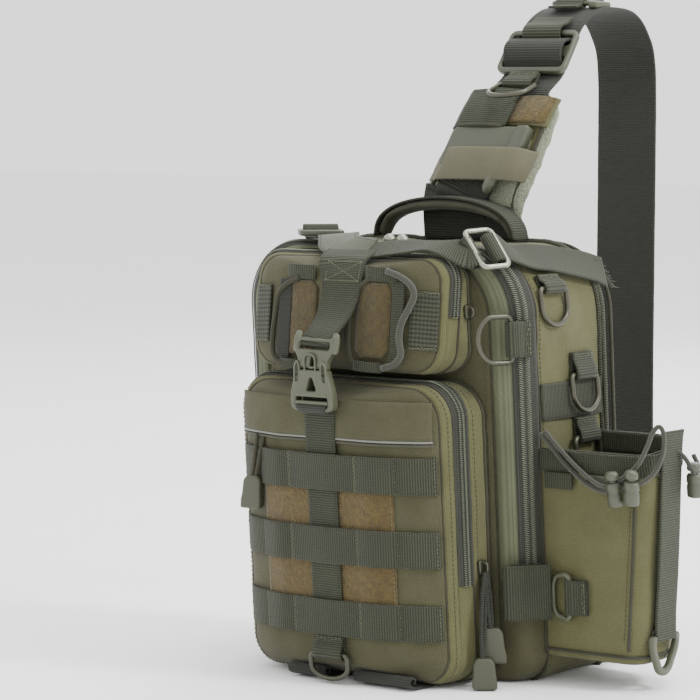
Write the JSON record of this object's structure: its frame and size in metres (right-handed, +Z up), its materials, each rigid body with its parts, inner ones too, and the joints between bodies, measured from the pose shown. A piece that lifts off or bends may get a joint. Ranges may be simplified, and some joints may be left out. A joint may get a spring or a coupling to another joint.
{
  "type": "sling backpack",
  "caption": "Compact fishing sling backpack with front pockets, webbing rows, a side bottle pocket and one wide shoulder strap with hardware.",
  "frame": {"origin": "middle of the underside of the main body, on the floor the bag stands on", "axes": "+Z up, front pockets towards -Y, bottle pocket towards +X"},
  "size_m": [0.3319, 0.339, 0.4668],
  "materials": {
    "cloth": "matt woven nylon",
    "webbing": "ribbed woven webbing",
    "dark_webbing": "dark woven webbing",
    "zip_tape": "woven tape with coil teeth",
    "loop_cloth": "fuzzy loop pile",
    "plastic": "satin moulded plastic",
    "metal": "satin painted metal",
    "padding": "ribbed padded edge cloth"
  },
  "bodies": {
    "root": {"main_body": "cloth", "back_panel": "padding", "main_zipper": "zip_tape", "lower_pocket": "cloth", "top_pocket": "cloth", "lower_zipper": "zip_tape", "top_zipper": "zip_tape", "hook_panel": "loop_cloth", "centre_webbing": "webbing", "molle_row_1": "webbing", "molle_row_2": "webbing", "molle_row_3": "webbing", "bottom_ring_loop": "webbing", "bottom_d_ring": "metal", "buckle_socket": "plastic", "buckle_plug": "plastic", "y_strap_stem": "webbing", "y_strap_left": "webbing", "rect_ring": "metal", "y_strap_right": "webbing", "y_strap_tail": "webbing", "handle": "padding", "patch_top_left": "loop_cloth", "web_top_left": "webbing", "cord_top_left": "plastic", "patch_top_right": "loop_cloth", "web_top_right": "webbing", "cord_top_right": "plastic", "side_webbing_right": "webbing", "side_loop_top": "webbing", "side_ring_top": "metal", "side_loop_mid": "webbing", "side_ring_mid": "metal", "side_loop_low": "webbing", "side_ring_low": "metal", "zip_ring_tab": "webbing", "zip_ring": "metal", "bottle_pocket": "cloth", "pocket_binding": "webbing", "mouth_cord": "plastic", "cord_lock_1": "plastic", "cord_lock_2": "plastic", "pocket_strap": "webbing", "pocket_strap_ring": "plastic", "wrap_tab": "webbing", "wrap_ring_tab": "webbing", "wrap_ring": "metal", "strap_pad": "padding", "strap_buckle": "plastic", "strap_band": "webbing", "strap_patch": "loop_cloth", "strap_flap": "webbing", "strap_webbing": "dark_webbing", "tri_glide": "plastic", "top_ring": "plastic", "strap_d_loop": "webbing", "strap_d_ring": "metal", "rod_strap_left": "webbing", "rod_strap_right": "webbing"}
  },
  "joints": []
}
